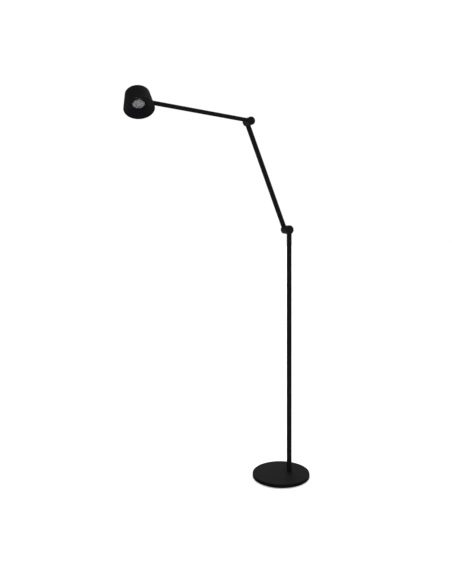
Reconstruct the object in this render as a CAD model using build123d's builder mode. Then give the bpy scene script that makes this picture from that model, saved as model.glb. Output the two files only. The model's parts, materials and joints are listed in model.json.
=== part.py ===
from build123d import *
import os
from math import asin, cos, degrees, radians, sin

# Adjustable arm floor lamp. Millimetres, +Z up. The origin is the centre of the base, on the floor.
# The arms reach towards -X, every hinge turns about Y, and the viewer's side is -Y.
# The stem and the upper arm lie in the plane y = 0; the lower arm lies beside them, at y = arm_offset.

# ---- driving dimensions: base ----
base_radius = 125.0
base_height = 15.0
base_edge_radius = 2.0
cover_wall = 1.5
skirt_gap = 1.0
pad_radius = 118.0
pad_height = 1.5
plate_height = 1.5
inside_gap = 0.6
screw_circle = 95.0
screw_radius = 2.0
screw_head_radius = 3.4
screw_length = 7.0

# ---- driving dimensions: stem and arms ----
stem_offset = 42.0
shoulder_height = 1083.0
stem_radius = 11.0
stem_wall = 1.5
lower_arm_length = 505.0
lower_arm_lean = 22.4
upper_arm_radius = 9.0
upper_arm_wall = 1.2
upper_arm_reach = 496.0
upper_arm_rise = 4.3
arm_offset = 37.0

# ---- driving dimensions: hinges ----
stem_knuckle_radius = 20.0
arm_knuckle_radius = 18.0
knuckle_outer_face = 11.5
dome_share = 0.4
knuckle_edge = 0.6
knuckle_wall = 7.0
knuckle_skin = 3.0
web_height = 9.0
washer_height = 1.0
washer_radius = 14.0
plug_radius = 9.0
plug_height = 2.4
plug_sink = 0.3
plug_chamfer = 0.5
plug_hexagon = 4.0
plug_hexagon_depth = 1.4
pivot_radius = 5.0
pivot_bore = 2.5
pivot_head_radius = 7.5
pivot_head_height = 3.0
nut_across_flats = 14.0
pressure_washer_radius = 8.5
hinge_nut_height = 4.0
pivot_overrun = 0.8
spring_inner = 5.3
spring_outer = 8.0
spring_thickness = 0.55
spring_rise = 0.55
spring_apart = 0.02
springs_height = 2 * (spring_thickness + spring_rise) + spring_apart
springs_room = springs_height + 0.03
running_gap = 0.05
stop_circle = 10.5
stop_pin_radius = 1.5
stop_gap = 0.2
stop_depth = 3.5
shoulder_range = (-45.0, 67.6)
elbow_range = (-63.3, 71.7)

# ---- driving dimensions: leads ----
lead_radius = 1.6
lead_end_gap = 0.2
near_lead_offset = -3.0
near_lead_bend = 9.0
far_lead_offset = 5.3
far_lead_bend = 6.5
foot_lead_bend = 5.0
gland_height = 7.6
channel_lead_height = 4.8

# ---- driving dimensions: head, in its own frame ----
# Its origin is halfway along the shell; x points back along the upper arm, z to the closed end.
head_turn = 32.5
head_length = 79.5
arm_level = 4.0
opening_radius = 60.5
closed_radius = 48.0
closed_edge_radius = 6.0
shell_wall = 1.5
lens_recess = 22.0
lens_window = 24.0
lens_radius = 25.6
spindle_bore = 2.6
arm_end = 46.0
button_travel = 2.0

pieces = {}


# ================================================================ shapes used more than once


def ring(plane, outer, inner, height):
    """Flat ring or tube that stands on a plane: washers, tubes, bushes and hollow pins."""
    with BuildPart() as piece:
        with BuildSketch(plane):
            Circle(outer)
            if inner:
                Circle(inner, mode=Mode.SUBTRACT)
        extrude(amount=height)
    return piece


def hexagon_nut(plane, across_flats, bore, height):
    """Plain hexagon nut that stands on a plane."""
    with BuildPart() as piece:
        with BuildSketch(plane):
            RegularPolygon(across_flats / 2, 6, major_radius=False)
            Circle(bore, mode=Mode.SUBTRACT)
        extrude(amount=height)
    return piece


def section_of(plane):
    """The plane that holds a turned piece's half profile: local x is the radius, local y the axis."""
    return Plane(origin=plane.origin, x_dir=plane.x_dir, z_dir=-plane.y_dir)


def axis_of(plane):
    """The axis that a turned piece turns about."""
    return Axis(plane.origin, plane.z_dir)


def disc_springs(plane, start):
    """Two coned spring washers, back to back, that press a hinge together."""
    second = start + spring_thickness + spring_rise + spring_apart
    with BuildPart() as piece:
        with BuildSketch(section_of(plane)):
            for bottom, inner_lift, outer_lift in ((start, spring_rise, 0), (second, 0, spring_rise)):
                with BuildLine():
                    Polyline(
                        (spring_inner, bottom + inner_lift),
                        (spring_outer, bottom + outer_lift),
                        (spring_outer, bottom + outer_lift + spring_thickness),
                        (spring_inner, bottom + inner_lift + spring_thickness),
                        close=True,
                    )
                make_face()
        revolve(axis=axis_of(plane))
    return piece


def lead(points, bends, radius):
    """Round lead along straight runs joined by tangent bends, one bend radius for each inner point."""
    with BuildPart() as piece:
        with BuildLine() as route:
            FilletPolyline(*points, radius=bends)
        with BuildSketch(Plane(origin=route.line @ 0, z_dir=route.line % 0)):
            Circle(radius)
        sweep()
    return piece


# ================================================================ frames

stem_foot = Plane(origin=(stem_offset, 0, base_height))
lean = radians(lower_arm_lean)
rise = radians(upper_arm_rise)
down = Vector(0, 0, -1)
lower_arm_way = Vector(-sin(lean), 0, cos(lean))
upper_arm_way = Vector(-cos(rise), 0, sin(rise))
hinge_plane_y = arm_offset / 2

shoulder = Vector(stem_offset, hinge_plane_y, shoulder_height)
elbow = shoulder + lower_arm_way * lower_arm_length
across = Vector(0, 1, 0)
half_washer = washer_height / 2
knuckle_width = hinge_plane_y + knuckle_outer_face - half_washer
tube_level = hinge_plane_y - half_washer


def hinge_frame(centre):
    """A hinge's own frame: z runs along its axis, from the near knuckle to the far one."""
    return Plane(origin=centre, x_dir=down, z_dir=across)


def near_face(centre, tube_way):
    """The near knuckle's mating face; x points along its tube."""
    return Plane(origin=centre - across * half_washer, x_dir=tube_way, z_dir=-across)


def far_face(centre, tube_way):
    """The far knuckle's mating face; x points along its tube."""
    return Plane(origin=centre + across * half_washer, x_dir=tube_way, z_dir=across)


stem_joint = near_face(shoulder, down)
lower_arm_foot_joint = far_face(shoulder, lower_arm_way)
lower_arm_top_joint = far_face(elbow, -lower_arm_way)
upper_arm_joint = near_face(elbow, upper_arm_way)

# The head hangs on the end of the upper arm and turns about the arm's own axis.
upper_arm_start = Vector(elbow.X, 0, elbow.Z)
head_centre = upper_arm_start + upper_arm_way * upper_arm_reach
turn = radians(head_turn)
arm_upright = Vector(sin(rise), 0, cos(rise))
head_up = arm_upright * cos(turn) + across * sin(turn)
head = Plane(origin=head_centre - head_up * arm_level, x_dir=-upper_arm_way, z_dir=head_up)
swivel = Plane(origin=head_centre, x_dir=head_up, z_dir=-upper_arm_way)
half_head = head_length / 2

# Each tube ends this far inside its knuckle's rim.
socket_length = 6.5
stem_socket = stem_knuckle_radius - socket_length
arm_socket = arm_knuckle_radius - socket_length


# ================================================================ base

weight_top = base_height - cover_wall
plate_top = pad_height + plate_height
weight_radius = base_radius - cover_wall - inside_gap
gland_hole_radius = 4.0
gland_pocket_length = 7.5
gland_pocket_width = 9.4
gland_pocket_top = 12.3
channel_width = 5.0
channel_top = 9.2
foot_recess_radius = 13.0
foot_web_bottom = 11.0
nipple_radius = 5.0
nipple_bore = 3.5
nipple_bottom = 7.0
nipple_top = 28.0
foot_bush_height = 18.0

rear_of_base = Plane(origin=(base_radius, 0, gland_height), x_dir=(0, 1, 0), z_dir=(1, 0, 0))

with BuildPart() as base_cover:
    with BuildSketch(Plane.XY.offset(skirt_gap)):
        Circle(base_radius)
    extrude(amount=base_height - skirt_gap)
    fillet(base_cover.edges().sort_by(Axis.Z)[-1], base_edge_radius)
    offset(amount=-cover_wall, openings=base_cover.faces().sort_by(Axis.Z)[0])
    with Locations(stem_foot):
        Hole(nipple_radius + running_gap)
    with BuildSketch(rear_of_base):
        Circle(gland_hole_radius)
    extrude(amount=-2 * cover_wall, mode=Mode.SUBTRACT)
pieces["base_cover"] = base_cover

with BuildPart() as base_weight:
    with BuildSketch(Plane.XY.offset(plate_top)):
        Circle(weight_radius)
        with PolarLocations(screw_circle, 4, start_angle=45):
            Circle(screw_radius, mode=Mode.SUBTRACT)
    extrude(amount=weight_top - plate_top)
    with BuildSketch(Plane.XY.offset(plate_top)):
        with Locations((stem_offset, 0)):
            Circle(foot_recess_radius)
    extrude(amount=foot_web_bottom - plate_top, mode=Mode.SUBTRACT)
    with Locations(stem_foot):
        Hole(nipple_radius + running_gap)
    with BuildSketch(Plane.XY.offset(plate_top)):
        with Locations((stem_offset, 0)):
            Rectangle(base_radius, channel_width, align=(Align.MIN, Align.CENTER))
    extrude(amount=channel_top - plate_top, mode=Mode.SUBTRACT)
    with BuildSketch(Plane.XY.offset(plate_top)):
        with Locations((base_radius - cover_wall - gland_pocket_length, 0)):
            Rectangle(base_radius, gland_pocket_width, align=(Align.MIN, Align.CENTER))
    extrude(amount=gland_pocket_top - plate_top, mode=Mode.SUBTRACT)
pieces["base_weight"] = base_weight

# The plate closes the base from below; its four holes take the coned heads of the screws.
underside = Plane(origin=(0, 0, pad_height), z_dir=(0, 0, -1))
with BuildPart() as base_plate:
    with BuildSketch(Plane.XY.offset(pad_height)):
        Circle(weight_radius)
    extrude(amount=plate_height)
    with Locations(underside):
        with PolarLocations(screw_circle, 4, start_angle=45):
            CounterSinkHole(screw_radius, screw_head_radius, depth=plate_height, counter_sink_angle=90)
pieces["base_plate"] = base_plate

screw_cone = screw_head_radius - screw_radius
with BuildPart() as base_plate_screws:
    with Locations(Plane.XY.offset(pad_height)):
        with PolarLocations(screw_circle, 4, start_angle=45):
            Cone(
                screw_head_radius,
                screw_radius,
                screw_cone,
                align=(Align.CENTER, Align.CENTER, Align.MIN),
            )
    with BuildSketch(Plane.XY.offset(pad_height + screw_cone)):
        with PolarLocations(screw_circle, 4, start_angle=45):
            Circle(screw_radius)
    extrude(amount=screw_length - screw_cone)
pieces["base_plate_screws"] = base_plate_screws

pieces["floor_pad"] = ring(Plane.XY, pad_radius, 0, pad_height)

# Rubber gland: a flange outside the skirt, a neck through it and a longer body in the weight's pocket.
gland_flange_radius = 5.2
gland_flange = 1.1
gland_neck_radius = 3.9
gland_body_radius = 4.4
gland_body_length = 6.0
gland_body_gap = 0.2
with BuildPart() as cord_gland:
    with BuildSketch(rear_of_base):
        Circle(gland_flange_radius)
    extrude(amount=gland_flange)
    fillet(cord_gland.edges().sort_by(Axis.X)[-1], gland_flange / 2)
    with BuildSketch(rear_of_base):
        Circle(gland_neck_radius)
    extrude(amount=-2 * cover_wall)
    with BuildSketch(rear_of_base.offset(-cover_wall - gland_body_gap)):
        Circle(gland_body_radius)
    extrude(amount=-gland_body_length)
    with BuildSketch(rear_of_base.offset(gland_flange)):
        Circle(lead_radius + running_gap)
    extrude(amount=-2 * gland_pocket_length, mode=Mode.SUBTRACT)
pieces["cord_gland"] = cord_gland

# ================================================================ stem

stem_bore = stem_radius - stem_wall
stem_top = shoulder_height - stem_socket
pieces["stem_tube"] = ring(stem_foot, stem_radius, stem_bore, stem_top - base_height)
pieces["stem_foot_bush"] = ring(stem_foot, stem_bore, nipple_radius, foot_bush_height)

stem_nut_height = 3.0
stem_washer_radius = 11.5
stem_washer_height = 1.0
nipple_foot = stem_foot.offset(nipple_bottom - base_height)
pieces["stem_nipple"] = ring(nipple_foot, nipple_radius, nipple_bore, nipple_top - nipple_bottom)
pieces["stem_nut"] = hexagon_nut(nipple_foot, nut_across_flats, nipple_radius, stem_nut_height)
pieces["stem_washer"] = ring(
    nipple_foot.offset(stem_nut_height), stem_washer_radius, nipple_radius + running_gap, stem_washer_height
)

# The lead comes in at the gland, runs along the weight's channel, turns up into the nipple and
# climbs the stem a little to one side, so that it can bend into the hollow shoulder pivot.
lead_end_y = hinge_plane_y - lead_end_gap
channel_bend_offset = 13.0
channel_bend = 60.0
pieces["stem_lead"] = lead(
    [
        (base_radius, 0, gland_height),
        (base_radius - channel_bend_offset, 0, gland_height),
        (stem_offset, 0, channel_lead_height),
        (stem_offset, near_lead_offset, shoulder_height),
        (stem_offset, lead_end_y, shoulder_height),
    ],
    [channel_bend, foot_lead_bend, near_lead_bend],
    lead_radius,
)

# ================================================================ knuckles and hinges


def knuckle(joint, outer_radius, tube_radius, tube_bore, groove=None):
    """Round cup with a domed outer edge, a web for the pivot and a radial socket for its tube.

    groove is the pair of angles that the stop pin runs between, counted from the tube, on a near
    knuckle. A far knuckle has none, and holds the pin in a blind hole instead.
    """
    dome = outer_radius * dome_share
    tube_axis = Plane(origin=joint.origin + joint.z_dir * tube_level, x_dir=joint.y_dir, z_dir=joint.x_dir)
    with BuildPart() as cup:
        with BuildSketch(joint):
            Circle(outer_radius)
        extrude(amount=knuckle_width)
        rims = cup.edges().filter_by(GeomType.CIRCLE).sort_by(axis_of(joint))
        fillet(rims[0], knuckle_edge)
        rims = cup.edges().filter_by(GeomType.CIRCLE).sort_by(axis_of(joint))
        fillet(rims[-1], dome)
        with BuildSketch(joint.offset(web_height)):
            Circle(outer_radius - knuckle_wall)
        extrude(amount=knuckle_width - web_height - knuckle_skin, mode=Mode.SUBTRACT)
        with BuildSketch(joint):
            Circle(pivot_radius + running_gap)
        extrude(amount=web_height, mode=Mode.SUBTRACT)
        with BuildSketch(joint.offset(knuckle_width - knuckle_skin)):
            Circle(plug_radius)
        extrude(amount=knuckle_skin, mode=Mode.SUBTRACT)
        with BuildSketch(tube_axis.offset(outer_radius - socket_length)):
            Circle(tube_radius)
        extrude(amount=outer_radius, mode=Mode.SUBTRACT)
        with BuildSketch(tube_axis):
            Circle(tube_bore)
        extrude(amount=outer_radius, mode=Mode.SUBTRACT)
        with BuildSketch(joint):
            if groove:
                with BuildLine():
                    middle = CenterArc((0, 0), stop_circle, groove[0], groove[1] - groove[0])
                SlotArc(middle, 2 * (stop_pin_radius + stop_gap))
            else:
                with Locations((stop_circle, 0)):
                    Circle(stop_pin_radius)
        extrude(amount=stop_depth + half_washer, mode=Mode.SUBTRACT)
    return cup


def knuckle_plug(joint):
    """Round plug that closes the cup, with a hexagon socket for the key that screws it in."""
    bottom = joint.offset(knuckle_width - plug_sink - plug_height)
    with BuildPart() as plug:
        with BuildSketch(bottom):
            Circle(plug_radius - running_gap)
        extrude(amount=plug_height)
        chamfer(plug.edges().sort_by(axis_of(joint))[-1], plug_chamfer)
        with BuildSketch(bottom.offset(plug_height)):
            RegularPolygon(plug_hexagon, 6)
        extrude(amount=-plug_hexagon_depth, mode=Mode.SUBTRACT)
    return plug


def hinge_pieces(name, centre, pin_joint):
    """Hollow pivot bolt, washers, disc springs, lock nut and stop pin of one hinge."""
    frame = hinge_frame(centre)
    near_floor = -(half_washer + web_height)
    far_floor = half_washer + web_height
    springs_start = far_floor + washer_height
    nut_start = springs_start + springs_room
    pivot_end = nut_start + hinge_nut_height + pivot_overrun
    with BuildPart() as pivot:
        with BuildSketch(frame.offset(near_floor - pivot_head_height)):
            Circle(pivot_head_radius)
        extrude(amount=pivot_head_height)
        with BuildSketch(frame.offset(near_floor)):
            Circle(pivot_radius)
        extrude(amount=pivot_end - near_floor)
        with BuildSketch(frame.offset(near_floor - pivot_head_height)):
            Circle(pivot_bore)
        extrude(amount=pivot_end - near_floor + pivot_head_height, mode=Mode.SUBTRACT)
    pieces[name + "_pivot"] = pivot
    with BuildPart() as friction_washer:
        with BuildSketch(pin_joint):
            Circle(washer_radius)
            Circle(pivot_radius + running_gap, mode=Mode.SUBTRACT)
            with Locations((stop_circle, 0)):
                Circle(stop_pin_radius, mode=Mode.SUBTRACT)
        extrude(amount=-washer_height)
    pieces[name + "_friction_washer"] = friction_washer
    pieces[name + "_pressure_washer"] = ring(
        frame.offset(far_floor), pressure_washer_radius, pivot_radius + running_gap, washer_height
    )
    pieces[name + "_disc_springs"] = disc_springs(frame, springs_start)
    pieces[name + "_lock_nut"] = hexagon_nut(
        frame.offset(nut_start), nut_across_flats, pivot_radius, hinge_nut_height
    )
    pin_centre = pin_joint.origin + pin_joint.x_dir * stop_circle
    pin_foot = Plane(origin=pin_centre - pin_joint.z_dir * (stop_depth + half_washer), z_dir=pin_joint.z_dir)
    pin_length = 2 * (stop_depth + half_washer)
    pieces[name + "_stop_pin"] = ring(pin_foot, stop_pin_radius, 0, pin_length)


# Angles of the stop pins, counted from each near knuckle's own tube.
shoulder_pin_angle = 180 + lower_arm_lean
elbow_pin_angle = 180 + lower_arm_lean - (90 - upper_arm_rise)
shoulder_groove = [shoulder_pin_angle + angle for angle in shoulder_range]
elbow_groove = [elbow_pin_angle - angle for angle in reversed(elbow_range)]

pieces["stem_knuckle"] = knuckle(
    stem_joint, stem_knuckle_radius, stem_radius, stem_bore, shoulder_groove
)
pieces["stem_knuckle_plug"] = knuckle_plug(stem_joint)
hinge_pieces("shoulder", shoulder, lower_arm_foot_joint)

lower_arm_start = shoulder + across * hinge_plane_y
lower_arm_foot = Plane(
    origin=lower_arm_start + lower_arm_way * arm_socket, x_dir=across, z_dir=lower_arm_way
)
pieces["lower_arm_tube"] = ring(
    lower_arm_foot, stem_radius, stem_bore, lower_arm_length - 2 * arm_socket
)
pieces["lower_arm_foot_knuckle"] = knuckle(
    lower_arm_foot_joint, arm_knuckle_radius, stem_radius, stem_bore
)
pieces["lower_arm_foot_plug"] = knuckle_plug(lower_arm_foot_joint)
pieces["lower_arm_top_knuckle"] = knuckle(lower_arm_top_joint, arm_knuckle_radius, stem_radius, stem_bore)
pieces["lower_arm_top_plug"] = knuckle_plug(lower_arm_top_joint)
hinge_pieces("elbow", elbow, lower_arm_top_joint)

far_lead_shift = across * (hinge_plane_y + far_lead_offset)
far_lead_end = across * lead_end_gap
pieces["lower_arm_lead"] = lead(
    [
        shoulder + far_lead_end,
        shoulder + far_lead_shift,
        elbow + far_lead_shift,
        elbow + far_lead_end,
    ],
    [far_lead_bend, far_lead_bend],
    lead_radius,
)

# ================================================================ upper arm

upper_arm_bore = upper_arm_radius - upper_arm_wall
pieces["upper_arm_knuckle"] = knuckle(
    upper_arm_joint, arm_knuckle_radius, upper_arm_radius, upper_arm_bore, elbow_groove
)
pieces["upper_arm_knuckle_plug"] = knuckle_plug(upper_arm_joint)
pieces["upper_arm_tube"] = ring(
    swivel.offset(arm_end), upper_arm_radius, upper_arm_bore, upper_arm_reach - arm_end - arm_socket
)

spindle_end = 31.3
spindle_lead_end = 40.0
near_shift = across * near_lead_offset
lead_shift_start = 95.0
lead_shift_end = 60.0
lead_shift_bend = 60.0
pieces["upper_arm_lead"] = lead(
    [
        elbow - across * lead_end_gap,
        upper_arm_start + near_shift,
        head_centre - upper_arm_way * lead_shift_start + near_shift,
        head_centre - upper_arm_way * lead_shift_end,
        head_centre - upper_arm_way * spindle_lead_end,
    ],
    [near_lead_bend, lead_shift_bend, lead_shift_bend],
    lead_radius,
)

# ================================================================ head swivel

spindle_flange = 1.5
spindle_grip = 18.0
spindle_shoulder = 2.0
washer_start = arm_end - spindle_flange
boss_top = 43.7
boss_bottom = 38.0
with BuildPart() as swivel_spindle:
    with BuildSketch(swivel.offset(arm_end)):
        Circle(upper_arm_bore)
    extrude(amount=spindle_grip)
    with BuildSketch(swivel.offset(washer_start)):
        Circle(upper_arm_radius)
    extrude(amount=spindle_flange)
    with BuildSketch(swivel.offset(spindle_end)):
        Circle(pivot_radius)
    extrude(amount=washer_start - spindle_end)
    with BuildSketch(swivel.offset(spindle_end)):
        Circle(spindle_bore)
    extrude(amount=arm_end + spindle_grip - spindle_end, mode=Mode.SUBTRACT)
    with BuildSketch(swivel.offset(arm_end + spindle_shoulder)):
        Circle(upper_arm_bore - upper_arm_wall)
    extrude(amount=spindle_grip, mode=Mode.SUBTRACT)
pieces["swivel_spindle"] = swivel_spindle

shaft_hole = pivot_radius + running_gap
swivel_friction_radius = 8.8
swivel_pressure_height = 0.8
swivel_nut_height = 3.0
pressure_start = boss_bottom - swivel_pressure_height
swivel_nut_start = pressure_start - springs_room - swivel_nut_height
pieces["swivel_friction_washer"] = ring(
    swivel.offset(boss_top), swivel_friction_radius, shaft_hole, washer_start - boss_top
)
pieces["swivel_pressure_washer"] = ring(
    swivel.offset(pressure_start), pressure_washer_radius, shaft_hole, swivel_pressure_height
)
pieces["swivel_disc_springs"] = disc_springs(swivel, pressure_start - springs_height)
pieces["swivel_lock_nut"] = hexagon_nut(
    swivel.offset(swivel_nut_start), nut_across_flats, pivot_radius, swivel_nut_height
)

# ================================================================ head

head_axis = axis_of(head)
opening = head.offset(-half_head)
closed_end = head.offset(half_head)
bush_radius = 11.0
bush_inner_end = 49.0
bush_outer_end = 55.8
arm_hole_start = 44.0
post_circle = 21.0
post_radius = 3.0
post_count = 3
first_post_angle = 90
shell_screw_radius = 1.5
shell_screw_head = 2.8
shell_screw_head_height = 1.6
switch_hole_radius = 6.1

with BuildPart() as head_shell:
    with BuildSketch(opening):
        Circle(opening_radius)
    with BuildSketch(closed_end):
        Circle(closed_radius)
    loft()
    fillet(head_shell.edges().filter_by(GeomType.CIRCLE).sort_by(head_axis)[-1], closed_edge_radius)
    offset(amount=-shell_wall, openings=head_shell.faces().sort_by(head_axis)[0])
    with BuildSketch(swivel.offset(arm_hole_start)):
        Circle(bush_radius)
    extrude(amount=opening_radius, mode=Mode.SUBTRACT)
    with Locations(closed_end):
        Hole(switch_hole_radius, depth=2 * shell_wall)
        with PolarLocations(post_circle, post_count, start_angle=first_post_angle):
            Hole(shell_screw_radius, depth=2 * shell_wall)
pieces["head_shell"] = head_shell

pieces["arm_bush"] = ring(
    swivel.offset(bush_inner_end),
    bush_radius - running_gap,
    upper_arm_radius + running_gap,
    bush_outer_end - bush_inner_end,
)

# Black dish inside the mouth: a rim with a short skirt, a coned face and a seat that holds the lens.
window_level = lens_recess - half_head
dish_rim = 0.4 - half_head
dish_mouth_radius = 57.8
dish_radius = 58.8
skirt_radius = 58.0
skirt_inner_radius = 56.6
skirt_end = dish_rim + 5.8
skirt_root = dish_rim + 2.2
seat_level = window_level + 0.85
seat_top = seat_level + 3.4
seat_radius = 27.0
seat_root = window_level - 0.55
seat_bore = lens_radius + 0.2
with BuildPart() as glare_cone:
    with BuildSketch(section_of(head)):
        with BuildLine():
            Polyline(
                (dish_mouth_radius, dish_rim),
                (dish_radius, dish_rim),
                (skirt_radius, skirt_end),
                (skirt_inner_radius, skirt_end),
                (skirt_inner_radius, skirt_root),
                (seat_radius, seat_root),
                (seat_radius, seat_top),
                (seat_bore, seat_top),
                (seat_bore, seat_level),
                (lens_window, seat_level),
                (lens_window, window_level),
                close=True,
            )
        make_face()
    revolve(axis=head_axis)
pieces["glare_cone"] = glare_cone

lens_thickness = 2.5
lens_crown = 1.4
crown_radius = (lens_window**2 + lens_crown**2) / (2 * lens_crown)
crown_half_angle = degrees(asin((lens_window - running_gap) / crown_radius))
with BuildPart() as lens:
    with BuildSketch(section_of(head)):
        with BuildLine():
            crown = JernArc((0, seat_level - lens_crown), (1, 0), crown_radius, crown_half_angle)
            Polyline(
                crown @ 1,
                (lens_window - running_gap, seat_level),
                (lens_radius, seat_level),
                (lens_radius, seat_level + lens_thickness),
                (0, seat_level + lens_thickness),
                (0, seat_level - lens_crown),
            )
        make_face()
    revolve(axis=head_axis)
pieces["lens"] = lens

board_bottom = 7.0
board_top = 8.6
board_radius = 13.0
throat_radius = 7.0
throat_level = 6.0
bowl_wall = 1.1
bowl_level = seat_level + lens_thickness
bowl_radius = 24.5
bowl_middle_radius = 18.0
bowl_middle_level = -4.0
throat_edge = throat_level + bowl_wall / 4
with BuildPart() as reflector:
    with BuildSketch(section_of(head)):
        with BuildLine():
            ThreePointArc(
                (throat_radius, throat_level),
                (bowl_middle_radius, bowl_middle_level),
                (bowl_radius, bowl_level),
            )
            Line((bowl_radius, bowl_level), (bowl_radius + bowl_wall, bowl_level))
            ThreePointArc(
                (bowl_radius + bowl_wall, bowl_level),
                (bowl_middle_radius + bowl_wall, bowl_middle_level + bowl_wall),
                (throat_radius + bowl_wall, throat_edge),
            )
            Polyline(
                (throat_radius + bowl_wall, throat_edge),
                (throat_radius + bowl_wall, board_bottom),
                (throat_radius, board_bottom),
                (throat_radius, throat_level),
            )
        make_face()
    revolve(axis=head_axis)
pieces["reflector"] = reflector

pieces["led_board"] = ring(head.offset(board_bottom), board_radius, 0, board_top - board_bottom)
chip_radius = 5.5
chip_height = 0.8
pieces["led_chip"] = ring(head.offset(board_bottom - chip_height), chip_radius, 0, chip_height)

# Cast heat sink: a disc with upright fins, three posts up to the shell and a boss for the swivel.
sink_radius = 25.0
sink_disc_top = 13.0
fin_top = 24.0
fin_inner = 7.0
fin_outer = 24.5
fin_thickness = 1.8
fin_step = 22.5
first_fin = 2
fin_count = 13
post_hole_depth = 12.0
wire_hole_radius = 4.0
boss_width = 18.0
rib_top = 16.0
rib_start = 15.0
lead_rise = 26.5
with BuildPart() as heat_sink:
    with BuildSketch(head.offset(board_top)):
        Circle(sink_radius)
    extrude(amount=sink_disc_top - board_top)
    with BuildSketch(head.offset(sink_disc_top)):
        for step in range(first_fin, first_fin + fin_count):
            with PolarLocations(0, 1, start_angle=step * fin_step):
                with Locations((fin_inner, 0)):
                    Rectangle(fin_outer - fin_inner, fin_thickness, align=(Align.MIN, Align.CENTER))
    extrude(amount=fin_top - sink_disc_top)
    with BuildSketch(head.offset(sink_disc_top)):
        with PolarLocations(post_circle, post_count, start_angle=first_post_angle):
            Circle(post_radius)
    extrude(amount=half_head - shell_wall - sink_disc_top)
    with BuildSketch(head.offset(sink_disc_top)):
        with Locations((rib_start, 0)):
            Rectangle(boss_top - rib_start, boss_width, align=(Align.MIN, Align.CENTER))
    extrude(amount=rib_top - sink_disc_top)
    with BuildSketch(head.offset(arm_level - boss_width / 2)):
        with Locations((boss_bottom, 0)):
            Rectangle(boss_top - boss_bottom, boss_width, align=(Align.MIN, Align.CENTER))
    extrude(amount=boss_width / 2 + rib_top - arm_level)
    with BuildSketch(swivel.offset(boss_bottom)):
        Circle(shaft_hole)
    extrude(amount=boss_top - boss_bottom, mode=Mode.SUBTRACT)
    with BuildSketch(head.offset(board_top)):
        Circle(wire_hole_radius)
        with Locations((lead_rise, 0)):
            Circle(lead_radius + stop_gap)
    extrude(amount=fin_top, mode=Mode.SUBTRACT)
    with BuildSketch(closed_end):
        with PolarLocations(post_circle, post_count, start_angle=first_post_angle):
            Circle(shell_screw_radius)
    extrude(amount=-post_hole_depth, mode=Mode.SUBTRACT)
pieces["heat_sink"] = heat_sink

# Button-headed screws through the closed end into the posts, each with a hexagon socket.
shell_screw_length = 9.0
shell_screw_socket = 1.0
shell_screw_rounding = 1.2
with BuildPart() as shell_screws:
    with BuildSketch(closed_end):
        with PolarLocations(post_circle, post_count, start_angle=first_post_angle):
            Circle(shell_screw_head)
    extrude(amount=shell_screw_head_height)
    fillet(
        shell_screws.edges().filter_by(GeomType.CIRCLE).group_by(head_axis)[-1],
        shell_screw_rounding,
    )
    with BuildSketch(closed_end):
        with PolarLocations(post_circle, post_count, start_angle=first_post_angle):
            Circle(shell_screw_radius)
    extrude(amount=-shell_screw_length)
    with BuildSketch(head.offset(half_head + shell_screw_head_height)):
        with PolarLocations(post_circle, post_count, start_angle=first_post_angle):
            RegularPolygon(shell_screw_socket, 6)
    extrude(amount=-shell_screw_socket, mode=Mode.SUBTRACT)
pieces["shell_screws"] = shell_screws

# ================================================================ push switch in the closed end

switch_bottom = 27.0
switch_floor = 30.0
switch_radius = 7.0
neck_radius = 6.0
neck_top = half_head + 1.0
step_level = 35.6
button_radius = 4.25
button_flange_radius = 5.0
button_flange_bottom = 34.0
button_top = neck_top + button_travel + 1.0
button_rounding = 1.2
with BuildPart() as switch_body:
    with BuildSketch(head.offset(switch_bottom)):
        Circle(switch_radius)
    extrude(amount=half_head - shell_wall - switch_bottom)
    with BuildSketch(head.offset(switch_bottom)):
        Circle(neck_radius)
    extrude(amount=neck_top - switch_bottom)
    with BuildSketch(head.offset(switch_floor)):
        Circle(button_flange_radius + running_gap)
    extrude(amount=step_level - switch_floor, mode=Mode.SUBTRACT)
    with BuildSketch(head.offset(step_level)):
        Circle(button_radius + running_gap)
    extrude(amount=neck_top - step_level, mode=Mode.SUBTRACT)
pieces["switch_body"] = switch_body

collar_radius = 8.5
collar_height = 1.6
collar_chamfer = 0.5
with BuildPart() as switch_collar:
    with BuildSketch(closed_end):
        Circle(collar_radius)
    extrude(amount=collar_height)
    chamfer(switch_collar.edges().sort_by(head_axis)[-1], collar_chamfer)
    with BuildSketch(closed_end):
        Circle(neck_radius)
    extrude(amount=collar_height, mode=Mode.SUBTRACT)
pieces["switch_collar"] = switch_collar

with BuildPart() as switch_button:
    with BuildSketch(head.offset(button_flange_bottom)):
        Circle(button_flange_radius)
    extrude(amount=step_level - button_flange_bottom)
    with BuildSketch(head.offset(button_flange_bottom)):
        Circle(button_radius)
    extrude(amount=button_top - button_flange_bottom)
    fillet(switch_button.edges().sort_by(head_axis)[-1], button_rounding)
pieces["switch_button"] = switch_button

# The return spring stands on the switch's floor and carries the button's flange.
spring_wire = 0.25
spring_radius = 3.4
spring_pitch = 0.9
spring_end_gap = spring_wire + 0.05
spring_height = button_flange_bottom - switch_floor - 2 * spring_end_gap
spring_foot = head.offset(switch_floor + spring_end_gap).origin
with BuildPart() as switch_spring:
    with BuildLine() as coil:
        Helix(spring_pitch, spring_height, spring_radius, center=spring_foot, direction=head.z_dir)
    with BuildSketch(Plane(origin=coil.line @ 0, z_dir=coil.line % 0)):
        Circle(spring_wire)
    sweep()
pieces["switch_spring"] = switch_spring

# The head's lead starts in the hollow spindle, passes through the rib and ends at the switch.
head_lead_radius = 1.2
head_lead_bend = 5.0
switch_lead_level = 30.5
pieces["head_lead"] = lead(
    [
        head.from_local_coords(Vector(spindle_lead_end - 2 * lead_end_gap, 0, arm_level)),
        head.from_local_coords(Vector(lead_rise, 0, arm_level)),
        head.from_local_coords(Vector(lead_rise, 0, switch_lead_level)),
        head.from_local_coords(Vector(switch_radius + running_gap, 0, switch_lead_level)),
    ],
    [head_lead_bend, head_lead_bend],
    head_lead_radius,
)

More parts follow.
